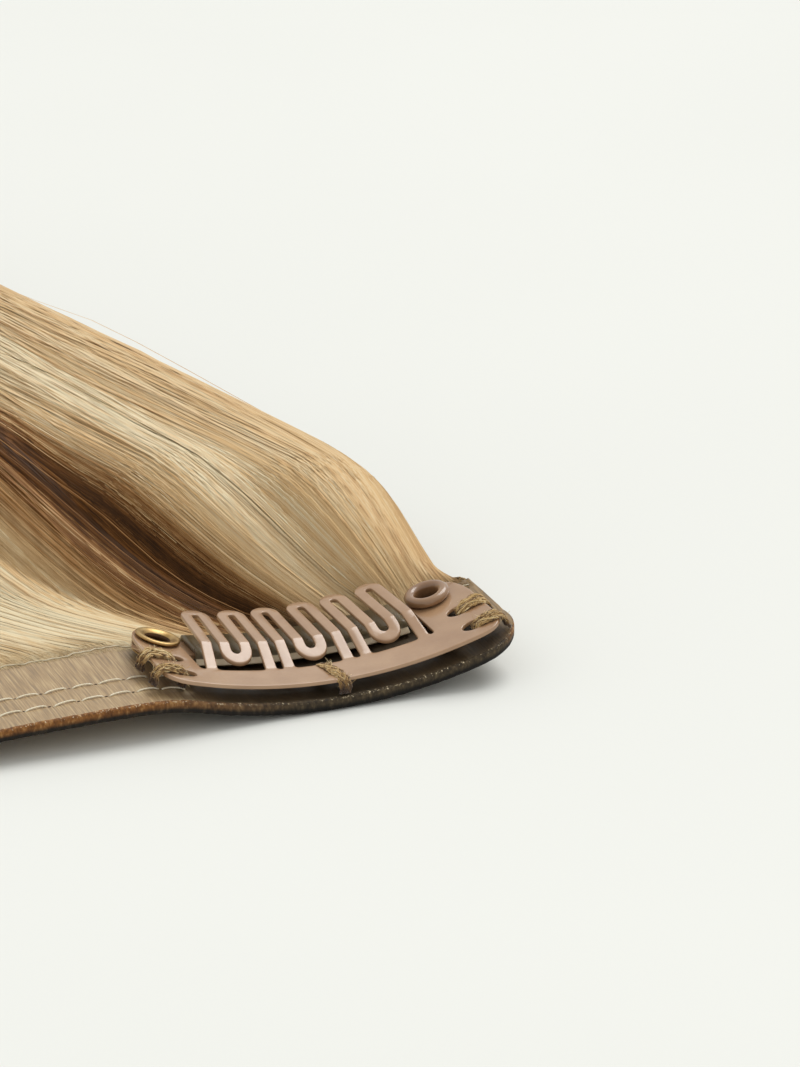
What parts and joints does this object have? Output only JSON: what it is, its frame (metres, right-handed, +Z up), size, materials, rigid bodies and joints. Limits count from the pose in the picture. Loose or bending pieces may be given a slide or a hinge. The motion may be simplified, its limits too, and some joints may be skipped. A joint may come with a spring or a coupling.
{
  "type": "clip-in hair extension",
  "caption": "Straight clip-in hair weft: a stitched skin band with serpentine snap clips lashed to its upper side and a long fall of mixed blond and brown hair behind it.",
  "frame": {"origin": "on the table, under the middle of the part's box", "axes": "+X along the weft band, +Y back along the hair, +Z up from the table, clip side up"},
  "size_m": [0.1378, 0.4022, 0.0102],
  "materials": {
    "weft_film": "thin clear film over bonded hair, slight gloss",
    "hair": "straight mixed blond and brown hair",
    "enamel": "satin taupe enamel",
    "brass": "polished",
    "silicone": "translucent, smooth",
    "thread": "coarse twisted thread"
  },
  "bodies": {
    "root": {"weft_band": "weft_film", "hair_fall": "hair", "comb_plate_clip_left": "enamel", "spring_bow_clip_left": "enamel", "grip_sleeve_clip_left": "silicone", "eyelet_brass_clip_left": "brass", "eyelet_painted_clip_left": "enamel", "lashing_left_front_clip_left": "thread", "lashing_left_back_clip_left": "thread", "lashing_right_front_clip_left": "thread", "lashing_right_back_clip_left": "thread", "lashing_middle_clip_left": "thread", "comb_plate_clip_right": "enamel", "spring_bow_clip_right": "enamel", "grip_sleeve_clip_right": "silicone", "eyelet_brass_clip_right": "brass", "eyelet_painted_clip_right": "enamel", "lashing_left_front_clip_right": "thread", "lashing_left_back_clip_right": "thread", "lashing_right_front_clip_right": "thread", "lashing_right_back_clip_right": "thread", "lashing_middle_clip_right": "thread"}
  },
  "joints": []
}
